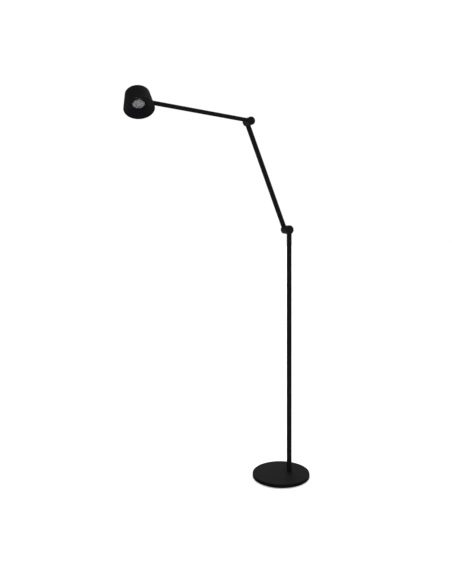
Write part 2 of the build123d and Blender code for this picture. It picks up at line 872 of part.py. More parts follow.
wire_radius = 0.7
wire_spacing = 4.0
with BuildPart() as led_wires:
    with BuildSketch(head.offset(board_top)):
        with GridLocations(0, wire_spacing, 1, 2):
            Circle(wire_radius)
    extrude(amount=switch_bottom - board_top)
pieces["led_wires"] = led_wires

# ================================================================ writing the pieces

os.makedirs("parts", exist_ok=True)
for name, piece in pieces.items():
    piece.part.label = name
    export_step(piece.part, f"parts/{name}.step")
print(len(pieces), "pieces; head centre", head_centre, "elbow", elbow)
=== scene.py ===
import json
import math

import bpy
import numpy as np
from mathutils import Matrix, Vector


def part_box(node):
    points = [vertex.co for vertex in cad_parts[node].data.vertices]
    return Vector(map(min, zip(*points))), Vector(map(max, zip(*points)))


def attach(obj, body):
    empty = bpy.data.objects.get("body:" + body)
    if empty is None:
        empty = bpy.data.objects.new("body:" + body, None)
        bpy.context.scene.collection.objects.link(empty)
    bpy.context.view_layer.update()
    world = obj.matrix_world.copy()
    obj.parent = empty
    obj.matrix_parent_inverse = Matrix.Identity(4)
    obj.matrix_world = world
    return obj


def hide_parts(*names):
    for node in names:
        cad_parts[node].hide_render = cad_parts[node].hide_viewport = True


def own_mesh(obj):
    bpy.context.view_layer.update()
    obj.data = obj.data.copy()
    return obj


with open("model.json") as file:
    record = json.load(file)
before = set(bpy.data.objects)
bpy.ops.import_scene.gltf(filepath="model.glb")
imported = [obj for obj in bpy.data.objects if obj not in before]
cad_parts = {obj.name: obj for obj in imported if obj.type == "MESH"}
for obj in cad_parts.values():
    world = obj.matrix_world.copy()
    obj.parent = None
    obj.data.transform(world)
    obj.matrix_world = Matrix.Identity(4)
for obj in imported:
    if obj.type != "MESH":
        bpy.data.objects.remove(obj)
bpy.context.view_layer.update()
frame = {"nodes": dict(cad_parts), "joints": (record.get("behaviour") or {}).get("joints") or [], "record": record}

# ---------------------------------------------------------------- felt pad and bottom plate
# A disc of pressed wool felt is glued under the base, so that it doesn't scratch the floor.
# Above it a zinc-plated steel plate is screwed to the cast weight with four countersunk screws.


def finish(name, dark, pale, patch, grain, depth, smooth, rough, metal=0.0, gloss=0.5):
    """A finish whose colour wanders between dark and pale in patches of the patch's size, and
    whose roughness wanders between smooth and rough with the grain.  Its bump is a noise of
    the grain's size, depth deep.  Sizes are in metres.  On the lens and the bright reflector
    the patches are painted reflections; on the other finishes they are the material's own tone."""
    made = bpy.data.materials.new(name)
    made.use_nodes = True
    nodes, join = made.node_tree.nodes, made.node_tree.links.new
    shader = nodes["Principled BSDF"]
    shader.inputs["Metallic"].default_value = metal
    shader.inputs["Specular IOR Level"].default_value = gloss
    place = nodes.new("ShaderNodeTexCoord")

    patches = nodes.new("ShaderNodeTexNoise")
    patches.inputs["Scale"].default_value = 1 / patch
    patches.inputs["Detail"].default_value = 4.0
    join(place.outputs["Object"], patches.inputs["Vector"])
    tint = nodes.new("ShaderNodeValToRGB")
    tint.name = "tint"
    tint.color_ramp.elements[0].position = 0.32
    tint.color_ramp.elements[0].color = (*dark, 1)
    tint.color_ramp.elements[1].position = 0.68
    tint.color_ramp.elements[1].color = (*pale, 1)
    join(patches.outputs["Fac"], tint.inputs["Fac"])
    join(tint.outputs["Color"], shader.inputs["Base Color"])

    grains = nodes.new("ShaderNodeTexNoise")
    grains.name = "grains"
    grains.inputs["Scale"].default_value = 1 / grain
    grains.inputs["Detail"].default_value = 3.0
    grains.inputs["Roughness"].default_value = 0.6
    join(place.outputs["Object"], grains.inputs["Vector"])
    relief = nodes.new("ShaderNodeBump")
    relief.name = "relief"
    relief.inputs["Strength"].default_value = 1.0
    relief.inputs["Distance"].default_value = depth
    join(grains.outputs["Fac"], relief.inputs["Height"])
    join(relief.outputs["Normal"], shader.inputs["Normal"])

    sheen = nodes.new("ShaderNodeMapRange")
    sheen.name = "sheen"
    sheen.inputs["From Min"].default_value = 0.3
    sheen.inputs["From Max"].default_value = 0.7
    sheen.inputs["To Min"].default_value = smooth
    sheen.inputs["To Max"].default_value = rough
    join(grains.outputs["Fac"], sheen.inputs["Value"])
    join(sheen.outputs["Result"], shader.inputs["Roughness"])
    return made


def dress(slot, coat):
    """Puts a finish on every CAD node whose slot in the record is this one."""
    for part in frame["record"]["subparts"]:
        if part["material_slot"] == slot:
            for place in frame["nodes"][part["node"]].material_slots:
                place.material = coat


felt = finish(
    "felt", dark=(0.012, 0.012, 0.013), pale=(0.03, 0.03, 0.032), patch=0.004,
    grain=0.0006, depth=0.0004, smooth=0.85, rough=1.0, gloss=0.15,
)
felt.node_tree.nodes["Principled BSDF"].inputs["Sheen Weight"].default_value = 0.4
dress("felt", felt)

zinc = finish(
    "zinc_steel", dark=(0.42, 0.43, 0.45), pale=(0.62, 0.62, 0.6), patch=0.003,
    grain=0.0004, depth=0.00001, smooth=0.22, rough=0.42, metal=1.0,
)
dress("zinc_steel", zinc)

# ---------------------------------------------------------------- base cover
# A round cover of pressed steel sheet, with a rolled edge and a straight skirt, sits over the
# cast weight.  It has a fine-grained matt black powder coat, polished a little at the edge.


def rounded(*corners):
    """The outline of a turned piece in millimetres, from corners (radius, height, rounding).
    Each corner is cut back by rounding / tan(half its angle) on both sides, and an arc about
    the point rounding / sin(half its angle) along its bisector joins the cuts.  A short
    straight step on each side of the arc keeps the flats flat.  The third column is the share
    of wear: sin^2 along each arc, so 1 at its middle, and 0 between the arcs."""
    corners = np.array(corners, dtype=float)
    here, rounding = corners[:, :2], corners[:, 2:]
    before, after = np.roll(here, 1, axis=0) - here, np.roll(here, -1, axis=0) - here
    before /= np.linalg.norm(before, axis=1, keepdims=True)
    after /= np.linalg.norm(after, axis=1, keepdims=True)
    half = np.arccos(np.clip((before * after).sum(axis=1, keepdims=True), -1, 1)) / 2
    bisector = before + after
    bisector /= np.maximum(np.linalg.norm(bisector, axis=1, keepdims=True), 1e-9)
    cut, centre = rounding / np.tan(half), here + bisector * rounding / np.sin(half)
    start, end = here + before * cut, here + after * cut
    sweep = np.maximum(np.pi - 2 * half, 1e-6)[:, :, None]
    share = np.linspace(0, 1, 9)[None, :, None]
    arc = (
        np.sin((1 - share) * sweep) * (start - centre)[:, None, :]
        + np.sin(share * sweep) * (end - centre)[:, None, :]
    ) / np.sin(sweep) + centre[:, None, :]
    step = 0.15 * rounding
    line = np.concatenate([(start + before * step)[:, None], arc, (end + after * step)[:, None]], axis=1)
    wear = np.zeros(line.shape[:2] + (1,))
    wear[:, 1:-1] = np.sin(np.pi * share) ** 2
    line = np.concatenate([line, wear], axis=2).reshape(-1, 3)
    apart = np.linalg.norm(line[:, :2] - np.roll(line[:, :2], 1, axis=0), axis=1)
    return line[apart > 1e-6]


def skin(name, points, wear=0.0, loop=True):
    """A mesh over a grid of points: rings x steps x 3, in metres.  Each face joins four
    neighbours, the steps close round, and loop closes the last ring to the first.  A ring
    whose points coincide becomes one vertex with a fan of triangles."""
    rings, steps = points.shape[:2]
    spread = np.ptp(points, axis=1).max(axis=1)
    pole = spread < 1e-9
    first = np.concatenate([[0], np.cumsum(np.where(pole, 1, steps))])
    around = np.arange(steps)[None, :]
    index = first[:-1, None] + np.where(pole[:, None], 0, around)
    keep = np.where(pole[:, None], around == 0, True)
    verts = points[keep]
    here = np.arange(rings if loop else rings - 1)
    there = (here + 1) % rings
    a, b = index[here], index[there]
    c, d = np.roll(b, -1, axis=1), np.roll(a, -1, axis=1)
    quads = np.stack([a, b, c, d], axis=2)
    whole = ~pole[here] & ~pole[there]
    fans_in, fans_out = pole[here] & ~pole[there], ~pole[here] & pole[there]
    faces = quads[whole].reshape(-1, 4).tolist()
    faces += quads[fans_in][:, :, (0, 1, 2)].reshape(-1, 3).tolist()
    faces += quads[fans_out][:, :, (0, 1, 3)].reshape(-1, 3).tolist()
    mesh = bpy.data.meshes.new(name)
    mesh.from_pydata(verts.tolist(), [], faces)
    mesh.polygons.foreach_set("use_smooth", np.ones(len(mesh.polygons), dtype=bool))
    worn = mesh.attributes.new("edge", "FLOAT", "POINT")
    worn.data.foreach_set("value", np.broadcast_to(wear, (rings, steps))[keep].astype(np.float32))
    mesh.update()
    piece = bpy.data.objects.new(name, mesh)
    bpy.context.collection.objects.link(piece)
    return piece


def turned(name, outline, foot, way, steps=144):
    """A turned piece: each outline point (radius r, height h) in millimetres goes round the
    axis to foot + way h + (side cos a + cross sin a) r, for a over a full turn, where side and
    cross are square to the axis.  The outline is closed, or starts and ends on the axis."""
    foot, way = np.array(foot, dtype=float), np.array(way, dtype=float)
    way /= np.linalg.norm(way)
    side = np.cross(way, (0.0, 1.0, 0.0) if abs(way[1]) < 0.9 else (1.0, 0.0, 0.0))
    side /= np.linalg.norm(side)
    cross = np.cross(way, side)
    radius, height = outline[:, 0] / 1000, outline[:, 1] / 1000
    area = (radius * np.roll(height, -1) - np.roll(radius, -1) * height).sum()
    if area > 0:
        outline, radius, height = outline[::-1], radius[::-1], height[::-1]
    angle = np.arange(steps) * 2 * np.pi / steps
    round_it = np.cos(angle)[:, None] * side + np.sin(angle)[:, None] * cross
    points = foot + height[:, None, None] * way + radius[:, None, None] * round_it[None, :, :]
    on_axis = radius[0] < 1e-9 and radius[-1] < 1e-9
    return skin(name, points, outline[:, 2:3], loop=not on_axis)


def fit(piece, body, slot, coat, *nodes):
    """Gives a new piece its finish and its body, and lets it stand for CAD nodes.  The slot is not used."""
    piece.data.materials.append(coat)
    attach(piece, body)
    if nodes:
        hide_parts(*nodes)


def powder(name, dark, pale, worn, grain, depth, smooth, rough, gloss):
    """Powder coat: melted grains leave a fine orange peel over a slower swell, and handling
    rubs the edges in spots, where the coat turns a slightly paler black."""
    swells_per_metre, scuffs_per_metre = 260.0, 420.0
    made = finish(
        name, dark, pale, patch=0.02, grain=grain, depth=depth, smooth=smooth, rough=rough, gloss=gloss,
    )
    nodes, join = made.node_tree.nodes, made.node_tree.links.new
    shader, tint = nodes["Principled BSDF"], nodes["tint"]
    place = nodes["Texture Coordinate"]
    swell = nodes.new("ShaderNodeTexNoise")
    swell.inputs["Scale"].default_value = swells_per_metre
    swell.inputs["Detail"].default_value = 1.0
    join(place.outputs["Object"], swell.inputs["Vector"])
    slow = nodes.new("ShaderNodeBump")
    slow.inputs["Strength"].default_value = 0.6
    slow.inputs["Distance"].default_value = depth * 2
    join(swell.outputs["Fac"], slow.inputs["Height"])
    join(slow.outputs["Normal"], nodes["relief"].inputs["Normal"])
    edge = nodes.new("ShaderNodeAttribute")
    edge.attribute_name = "edge"
    scuffs = nodes.new("ShaderNodeTexNoise")
    scuffs.inputs["Scale"].default_value = scuffs_per_metre
    scuffs.inputs["Detail"].default_value = 5.0
    join(place.outputs["Object"], scuffs.inputs["Vector"])
    some = nodes.new("ShaderNodeMapRange")
    some.inputs["From Min"].default_value = 0.42
    some.inputs["From Max"].default_value = 0.66
    join(scuffs.outputs["Fac"], some.inputs["Value"])
    rubbed = nodes.new("ShaderNodeMath")
    rubbed.operation = "MULTIPLY"
    join(edge.outputs["Fac"], rubbed.inputs[0])
    join(some.outputs["Result"], rubbed.inputs[1])
    fade = nodes.new("ShaderNodeMix")
    fade.data_type = "RGBA"
    join(rubbed.outputs["Value"], fade.inputs["Factor"])
    join(tint.outputs["Color"], fade.inputs["A"])
    fade.inputs["B"].default_value = (*worn, 1)
    join(fade.outputs["Result"], shader.inputs["Base Color"])
    return made


base_coat = powder(
    "base_coat", dark=(0.0026, 0.0026, 0.0026), pale=(0.0037, 0.0037, 0.0036),
    worn=(0.0055, 0.0055, 0.0054), grain=0.0007, depth=0.00006, smooth=0.5, rough=0.7, gloss=0.009,
)
dress("base_coat", base_coat)
base_radius = 125
base_height = 15
skirt_foot = 1
base_sheet = 1.5
cover = turned(
    "cover",
    rounded(
        (0, base_height, 0),
        (base_radius, base_height, 2),
        (base_radius, skirt_foot, 0.4),
        (base_radius - base_sheet, skirt_foot, 0.4),
        (base_radius - base_sheet, base_height - base_sheet, 1),
        (0, base_height - base_sheet, 0),
    ),
    foot=(0, 0, 0), way=(0, 0, 1), steps=254,
)
fit(cover, "stand", "base_coat", base_coat, "base_cover")

# ---------------------------------------------------------------- weight inside the base
# A thick disc of grey cast iron fills the cover and keeps the lamp from tipping.  It is left
# as cast, with a sandy skin, and its channel takes the lead from the gland to the stem.

cast_iron = finish(
    "cast_iron", dark=(0.035, 0.034, 0.033), pale=(0.075, 0.072, 0.068), patch=0.012,
    grain=0.0009, depth=0.0003, smooth=0.6, rough=0.9, metal=0.6,
)
dress("cast_iron", cast_iron)

# ---------------------------------------------------------------- cord gland
# A soft black rubber gland snaps into the skirt at the back and guards the lead where it
# comes in.  Its flange has a rounded lip and a slight bell mouth.

rubber = finish(
    "black_rubber", dark=(0.005, 0.005, 0.005), pale=(0.009, 0.009, 0.009), patch=0.003,
    grain=0.0003, depth=0.00002, smooth=0.5, rough=0.7, gloss=0.05,
)
dress("black_rubber", rubber)
skirt_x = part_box("base_cover")[1][0]
gland_level = 0.0076
lead_hole = 1.65
flange_radius, flange_height = 5.2, 1.1
groove_radius, groove_end = 3.9, -1.7
barb_radius, barb_end = 4.4, -7.7
gland = turned(
    "gland",
    rounded(
        (lead_hole, flange_height, 0.3), (flange_radius, flange_height, 0.5),
        (flange_radius, 0, 0.15), (groove_radius, 0, 0.05), (groove_radius, groove_end, 0.1),
        (barb_radius, groove_end, 0.1), (barb_radius, barb_end, 0.4), (lead_hole, barb_end, 0.2),
    ),
    foot=(skirt_x, 0, gland_level), way=(1, 0, 0), steps=64,
)
fit(gland, "stand", "black_rubber", rubber, "cord_gland")

# ---------------------------------------------------------------- leads
# A round two-core lead runs inside the tubes and through the hollow pivots.  Its sheath is
# smooth black PVC, and two red silicone wires go on to the light source.

sheath = finish(
    "lead_sheath", dark=(0.014, 0.014, 0.015), pale=(0.022, 0.022, 0.023), patch=0.006,
    grain=0.0005, depth=0.00001, smooth=0.35, rough=0.5, gloss=0.4,
)
dress("lead_sheath", sheath)
red_wire = finish(
    "wire_red", dark=(0.42, 0.02, 0.015), pale=(0.5, 0.035, 0.02), patch=0.004,
    grain=0.0003, depth=0.00001, smooth=0.35, rough=0.5, gloss=0.4,
)
dress("wire_red", red_wire)

# ---------------------------------------------------------------- stem and lower arm tubes
# Both are drawn steel tube, 22 mm across, cut square and deburred before coating.  The stem
# stands on a threaded nipple through the cover, well to one side of the base's centre.

joints = {joint["name"]: joint for joint in frame["joints"]}
shoulder = np.array(joints["shoulder_hinge"]["pos_m"], dtype=float)
elbow = np.array(joints["elbow_hinge"]["pos_m"], dtype=float)
hinge_way = -np.array(joints["shoulder_hinge"]["axis"], dtype=float)
lower_arm_way = (elbow - shoulder) / np.linalg.norm(elbow - shoulder)
lower_arm_reach = np.linalg.norm(elbow - shoulder) * 1000
stem_axis = shoulder * (1, 0, 0)


def tube(name, outer, bore, start, end, foot, way):
    """A cut tube as a turned piece, from start to end along its axis, with broken edges."""
    outline = rounded((outer, start, 0.35), (outer, end, 0.3), (bore, end, 0.3), (bore, start, 0.3))
    return turned(name, outline, foot, way, steps=112)


tube_coat = powder(
    "steel_tube_coat", dark=(0.0045, 0.0045, 0.0044), pale=(0.006, 0.0059, 0.0056),
    worn=(0.0085, 0.0083, 0.008), grain=0.0006, depth=0.00005, smooth=0.4, rough=0.6, gloss=0.012,
)
dress("steel_tube_coat", tube_coat)
thick_radius, thick_bore = 11, 9.5
stem_seat = 13.5
arm_seat = 11.5
half_washer = 0.5
tube_level = 18.0
stem_top = shoulder[2] * 1000 - stem_seat
stem = tube("stem", thick_radius, thick_bore, base_height, stem_top, stem_axis, (0, 0, 1))
fit(stem, "stand", "steel_tube_coat", tube_coat, "stem_tube")
lower_tube = tube(
    "lower_tube", thick_radius, thick_bore, arm_seat, lower_arm_reach - arm_seat,
    shoulder + hinge_way * (half_washer + tube_level) / 1000, lower_arm_way,
)
fit(lower_tube, "lower_arm", "steel_tube_coat", tube_coat, "lower_arm_tube")

# ---------------------------------------------------------------- knuckles and their beads
# Four turned steel cups make the two hinges, face to face in pairs.  Each has a domed outer
# edge and takes its tube in a socket, where a fine weld bead is dressed before coating.

head_centre = np.array(joints["head_swivel"]["pos_m"], dtype=float)
upper_arm_way = np.array(joints["head_swivel"]["axis"], dtype=float)
thin_radius = 9
cup_width = 29.5
cup_web, cup_wall, cup_end = 9, 7, 3
dome_share = 0.4
pivot_hole, plug_hole = 5.05, 9
knuckle_coat = powder(
    "knuckle_coat", dark=(0.0042, 0.0042, 0.0042), pale=(0.0058, 0.0058, 0.0057),
    worn=(0.0085, 0.0083, 0.008), grain=0.0006, depth=0.00004, smooth=0.38, rough=0.56, gloss=0.015,
)
dress("knuckle_coat", knuckle_coat)


def cup(name, radius, face, way):
    """One knuckle: a cup whose flat face lies on the hinge and whose outer edge is a quarter
    round, a dome_share of its radius.  It is bored for the pivot and hollow behind a web."""
    outline = rounded(
        (pivot_hole, 0, 0.3), (radius, 0, 0.6), (radius, cup_width, dome_share * radius),
        (plug_hole, cup_width, 0.3), (plug_hole, cup_width - cup_end, 0.2),
        (radius - cup_wall, cup_width - cup_end, 0.4), (radius - cup_wall, cup_web, 0.8),
        (pivot_hole, cup_web, 0.3),
    )
    return turned(name, outline, face, way, steps=160)


def bead(name, radius, tube_radius, face, way, tube_way):
    """The bead where a tube meets its cup.  At tube angle a the centre line lies at height
    z = level + t sin a on the cup and t cos a across it, t being the tube's radius, and at the
    distance sqrt(R(z)^2 - (t cos a)^2) from the hinge, where R(z) is the cup's own outline.  A
    small circle of slightly uneven size is carried along that line, square to it."""
    bead_radius, unevenness = 0.00055, 0.00005
    a = np.linspace(0, 2 * np.pi, 128, endpoint=False)
    z, y = tube_level + tube_radius * np.sin(a), tube_radius * np.cos(a)
    dome = dome_share * radius
    into_dome = np.maximum(z - (cup_width - dome), 0)
    outline = radius - dome + np.sqrt(dome**2 - into_dome**2)
    x = np.sqrt(outline**2 - y**2)
    cross = np.cross(way, tube_way)
    line = face + (x[:, None] * tube_way + y[:, None] * cross + z[:, None] * way) / 1000
    ahead = np.roll(line, -1, axis=0) - np.roll(line, 1, axis=0)
    ahead /= np.linalg.norm(ahead, axis=1, keepdims=True)
    out = (y[:, None] * cross + (z - tube_level)[:, None] * way) / tube_radius
    out -= (out * ahead).sum(axis=1, keepdims=True) * ahead
    out /= np.linalg.norm(out, axis=1, keepdims=True)
    up = np.cross(ahead, out)
    b = np.linspace(0, -2 * np.pi, 14, endpoint=False)
    lumps = bead_radius + unevenness * np.sin(23 * a + 2 * np.sin(5 * a))
    points = line[:, None, :] + lumps[:, None, None] * (
        np.cos(b)[None, :, None] * out[:, None, :] + np.sin(b)[None, :, None] * up[:, None, :]
    )
    return skin(name, points)


down = np.array([0.0, 0.0, -1.0])
for name, body, radius, tube_radius, hinge, way, tube_way in (
    ("stem_knuckle", "stand", 20, thick_radius, shoulder, -hinge_way, down),
    ("lower_arm_foot_knuckle", "lower_arm", 18, thick_radius, shoulder, hinge_way, lower_arm_way),
    ("lower_arm_top_knuckle", "lower_arm", 18, thick_radius, elbow, hinge_way, -lower_arm_way),
    ("upper_arm_knuckle", "upper_arm", 18, thin_radius, elbow, -hinge_way, upper_arm_way),
):
    face = hinge + way * half_washer / 1000
    fit(cup(name + "_cup", radius, face, way), body, "knuckle_coat", knuckle_coat, name)
    weld = bead(name + "_bead", radius, tube_radius, face, way, tube_way)
    fit(weld, body, "knuckle_coat", knuckle_coat)

# ---------------------------------------------------------------- hinge plugs
# A black oxide steel plug with a hexagon socket screws into the end of each cup and hides the
# pivot's nut.  It is lightly oiled, so it is a little smoother than the coat round it.

plug_black = finish(
    "plug_black", dark=(0.003, 0.003, 0.0032), pale=(0.006, 0.006, 0.0063), patch=0.002,
    grain=0.0003, depth=0.000012, smooth=0.28, rough=0.45, gloss=0.04,
)
dress("plug_black", plug_black)

# ---------------------------------------------------------------- upper arm tube
# The upper arm is a thinner drawn tube, 18 mm across, with the same coat.  The head's
# spindle is pressed into its far end.

elbow_on_axis = elbow * (1, 0, 1)
upper_arm_reach = np.linalg.norm(head_centre - elbow_on_axis) * 1000
thin_bore = 7.8
spindle_reach = 46
upper_tube = tube(
    "upper_tube", thin_radius, thin_bore, arm_seat, upper_arm_reach - spindle_reach,
    elbow_on_axis, upper_arm_way,
)
fit(upper_tube, "upper_arm", "steel_tube_coat", tube_coat, "upper_arm_tube")

# ---------------------------------------------------------------- head bush
# A turned black nylon bush lines the arm's hole in the head, so that the head can turn on the
# arm without rubbing through its coat.

nylon = finish(
    "nylon_black", dark=(0.004, 0.004, 0.0042), pale=(0.007, 0.007, 0.0073), patch=0.004,
    grain=0.0004, depth=0.000015, smooth=0.4, rough=0.55, gloss=0.04,
)
dress("nylon_black", nylon)
bush_bore, bush_radius = 9.05, 10.95
bush_start, bush_end = 49, 55.8
bush = turned(
    "bush",
    rounded(
        (bush_bore, bush_start, 0.2), (bush_radius, bush_start, 0.3),
        (bush_radius, bush_end, 0.7), (bush_bore, bush_end, 0.3),
    ),
    foot=head_centre, way=-upper_arm_way, steps=96,
)
fit(bush, "head", "nylon_black", nylon, "arm_bush")

# ---------------------------------------------------------------- head shell
# The head is spun from 1.5 mm aluminium sheet: a tapered drum with a rounded closed end and a
# trimmed, deburred rim at the mouth, coated like the rest in matt black powder.

head_up = -np.array(joints["switch_press"]["axis"], dtype=float)
arm_level = 0.004
shell_middle = head_centre - head_up * arm_level
head_coat = powder(
    "head_coat", dark=(0.0034, 0.0034, 0.0035), pale=(0.0048, 0.0048, 0.0049),
    worn=(0.0065, 0.0065, 0.0065), grain=0.0007, depth=0.00005, smooth=0.6, rough=0.8, gloss=0.008,
)
dress("head_coat", head_coat)
half_length = 39.75
shell_sheet = 1.5
mouth_radius, closed_radius, closed_inner = 60.5, 48, 46.3
switch_hole = 6.05
shell = turned(
    "shell",
    rounded(
        (mouth_radius, -half_length, 0.5), (closed_radius, half_length, 6),
        (switch_hole, half_length, 0.3), (switch_hole, half_length - shell_sheet, 0.3),
        (closed_inner, half_length - shell_sheet, 4.5), (mouth_radius - shell_sheet, -half_length, 0.5),
    ),
    foot=shell_middle, way=head_up, steps=256,
)
fit(shell, "head", "head_coat", head_coat, "head_shell")

# ---------------------------------------------------------------- glare cone
# A black polycarbonate dish is pressed into the mouth and hides the lens from the side.  Its
# sloping wall is eroded matt.  Its colour is the dish's own black made darker still and slightly
# blue: painted shade inside the mouth of the head.

# The dish's very dark, slightly blue colour is painted shade over its own black.
cone_black = finish(
    "cone_black", dark=(0.0008, 0.0011, 0.0018), pale=(0.0016, 0.0019, 0.0027), patch=0.01,
    grain=0.0005, depth=0.00004, smooth=0.34, rough=0.5, gloss=0.04,
)
dress("cone_black", cone_black)
cone_front, cone_mouth, cone_lip = -39.35, 57.8, 58.8
skirt_level, skirt_outer, skirt_inner, skirt_root = -33.55, 58, 56.6, -37.15
throat_outer, throat_radius, throat_level, throat_root = 27, 24, -17.75, -18.3
seat_radius, seat_level, seat_end = 25.8, -16.9, -13.5
cone = turned(
    "cone",
    rounded(
        (cone_mouth, cone_front, 0.35), (cone_lip, cone_front, 0.3),
        (skirt_outer, skirt_level, 0.2), (skirt_inner, skirt_level, 0.2), (skirt_inner, skirt_root, 0.2),
        (throat_outer, throat_root, 0.2), (throat_outer, seat_end, 0.2), (seat_radius, seat_end, 0.2),
        (seat_radius, seat_level, 0.1), (throat_radius, seat_level, 0.1),
        (throat_radius, throat_level, 0.3),
    ),
    foot=shell_middle, way=head_up, steps=256,
)
fit(cone, "head", "cone_black", cone_black, "glare_cone")

# ---------------------------------------------------------------- lens
# A pressed clear lens closes the light chamber.  Its front is a shallow crown covered with
# small pillows, set in a spiral, that spread the light.  Its colour wanders in patches from dark
# grey to near white: painted reflections on the glass.

lens_front = -18.3
lens_radius, crown, edge_fade = 23.8, 412.0, 2.0
flange_edge, lens_back = 25.6, 3.9
pillow_count, pillow_pitch = 33, 4.1
pillow_height, pillow_spread = 0.8, 4.3
# The dark and pale patches of the lens's colour are painted reflections, not a tint of the glass.
lens_glass_and_painted_reflections = finish(
    "clear_lens", dark=(0.16, 0.155, 0.16), pale=(0.86, 0.84, 0.85), patch=0.007,
    grain=0.002, depth=0.00002, smooth=0.01, rough=0.06, gloss=0.5,
)
glass = lens_glass_and_painted_reflections.node_tree.nodes["Principled BSDF"]
glass.inputs["Transmission Weight"].default_value = 0.9
glass.inputs["IOR"].default_value = 1.49
dress("clear_lens", lens_glass_and_painted_reflections)


def pillowed_lens(name, foot, way, steps=192, rings=72):
    """The lens.  Its front is the bowl z = r^2 / crown above the lowest point, and on it each
    pillow stands out by height (1 - (d / spread)^2), d being the distance to the nearest
    pillow's middle.  The middles lie on a spiral: the nth at radius pitch sqrt(n + 1/2) and
    angle n times the golden angle.  A straight edge, a flange and a flat back close it."""
    way = way / np.linalg.norm(way)
    side = np.cross(way, (0.0, 1.0, 0.0))
    side /= np.linalg.norm(side)
    cross = np.cross(way, side)
    r = np.linspace(0, lens_radius, rings)[:, None]
    a = np.arange(steps)[None, :] * 2 * np.pi / steps
    x, y = r * np.cos(a), r * np.sin(a)
    n = np.arange(pillow_count)
    turn = n * np.pi * (3 - np.sqrt(5))
    far = pillow_pitch * np.sqrt(n + 0.5)
    away = np.hypot(x[..., None] - far * np.cos(turn), y[..., None] - far * np.sin(turn)).min(axis=2)
    fade = np.clip((lens_radius - r) / edge_fade, 0, 1)
    z = r**2 / crown - pillow_height * np.clip(1 - (away / pillow_spread) ** 2, 0, 1) * fade
    rim = np.array([
        (lens_radius + 0.1, 1.4), (flange_edge - 0.1, 1.42), (flange_edge, 1.5),
        (flange_edge, lens_back - 0.1), (flange_edge - 0.1, lens_back), (12, lens_back), (0, lens_back),
    ])
    r_all = np.concatenate([np.broadcast_to(r, x.shape), np.repeat(rim[:, :1], steps, axis=1)])
    z_all = np.concatenate([z + np.zeros_like(x), np.repeat(rim[:, 1:], steps, axis=1)])
    points = (
        foot + (lens_front + z_all)[..., None] / 1000 * way
        + (r_all * np.cos(a))[..., None] / 1000 * side + (r_all * np.sin(a))[..., None] / 1000 * cross
    )
    return skin(name, points[::-1], loop=False)


lens = pillowed_lens("lens_pressed", shell_middle, head_up)
fit(lens, "head", "clear_lens", lens_glass_and_painted_reflections, "lens")

# ---------------------------------------------------------------- light chamber
# Behind the lens a small bowl of bright metal stands round the light source, a square of
# yellow phosphor on a white board, which is off.  The bowl's colour is painted in patches from
# near black to grey: painted reflections.

# The bowl's near-black and grey patches are painted reflections, darker than the bare metal.
bright = finish(
    "bright_reflector", dark=(0.02, 0.019, 0.02), pale=(0.36, 0.34, 0.355), patch=0.007,
    grain=0.0012, depth=0.00008, smooth=0.1, rough=0.25, metal=1.0,
)
dress("bright_reflector", bright)
phosphor = finish(
    "phosphor", dark=(0.75, 0.52, 0.12), pale=(0.85, 0.62, 0.18), patch=0.001,
    grain=0.0002, depth=0.00002, smooth=0.5, rough=0.65,
)
dress("phosphor", phosphor)
board = finish(
    "board_white", dark=(0.7, 0.71, 0.7), pale=(0.8, 0.8, 0.79), patch=0.004,
    grain=0.0004, depth=0.00001, smooth=0.35, rough=0.5,
)
dress("board_white", board)

# ---------------------------------------------------------------- heat sink
# The light source is screwed to a cast aluminium heat sink, which fills the head and also
# carries the swivel.  It is left bare, with the skin of the die.

bare = finish(
    "bare_aluminium", dark=(0.5, 0.51, 0.52), pale=(0.66, 0.66, 0.67), patch=0.008,
    grain=0.0006, depth=0.00004, smooth=0.35, rough=0.55, metal=1.0,
)
dress("bare_aluminium", bare)

# ---------------------------------------------------------------- screws of the closed end
# Three button-headed screws of blackened steel pass through the closed end and hold the shell
# to the heat sink's posts.  Each has a small hexagon socket.

black_screw = finish(
    "black_screw_steel", dark=(0.004, 0.004, 0.0043), pale=(0.009, 0.009, 0.0093), patch=0.001,
    grain=0.0002, depth=0.000008, smooth=0.25, rough=0.4, gloss=0.08,
)
dress("black_screw_steel", black_screw)

# ---------------------------------------------------------------- push switch
# A push switch stands in the middle of the closed end.  A chamfered nylon collar holds it, and
# its round button is slightly dished for a finger.

switch_black = finish(
    "switch_black", dark=(0.005, 0.005, 0.0053), pale=(0.008, 0.008, 0.0083), patch=0.003,
    grain=0.0003, depth=0.00001, smooth=0.35, rough=0.5, gloss=0.07,
)
dress("switch_black", switch_black)
collar_black = finish(
    "collar_black", dark=(0.004, 0.004, 0.0042), pale=(0.007, 0.007, 0.0073), patch=0.003,
    grain=0.0003, depth=0.00001, smooth=0.35, rough=0.48, gloss=0.05,
)
dress("collar_black", collar_black)
collar_bore, collar_radius, collar_chamfer = 6.02, 8.5, 0.5
collar_top = 41.35
collar = turned(
    "collar",
    rounded(
        (collar_bore, half_length, 0.1), (collar_radius, half_length, 0.1),
        (collar_radius, collar_top - collar_chamfer, 0.2),
        (collar_radius - collar_chamfer, collar_top, 0.2), (collar_bore, collar_top, 0.3),
    ),
    foot=shell_middle, way=head_up, steps=96,
)
fit(collar, "head", "collar_black", collar_black, "switch_collar")
button_radius, button_top = 4.25, 43.7
button_flange, flange_foot, flange_top = 5, 34, 35.6
button = turned(
    "button",
    rounded(
        (0, button_top - 0.4, 0), (2.4, button_top - 0.3, 1.5), (3.3, button_top + 0.05, 0.5),
        (button_radius, button_top, 0.8), (button_radius, flange_top, 0.1),
        (button_flange, flange_top, 0.15), (button_flange, flange_foot, 0.15), (0, flange_foot, 0),
    ),
    foot=shell_middle, way=head_up, steps=96,
)
fit(button, "switch_button", "switch_black", switch_black, "switch_button")
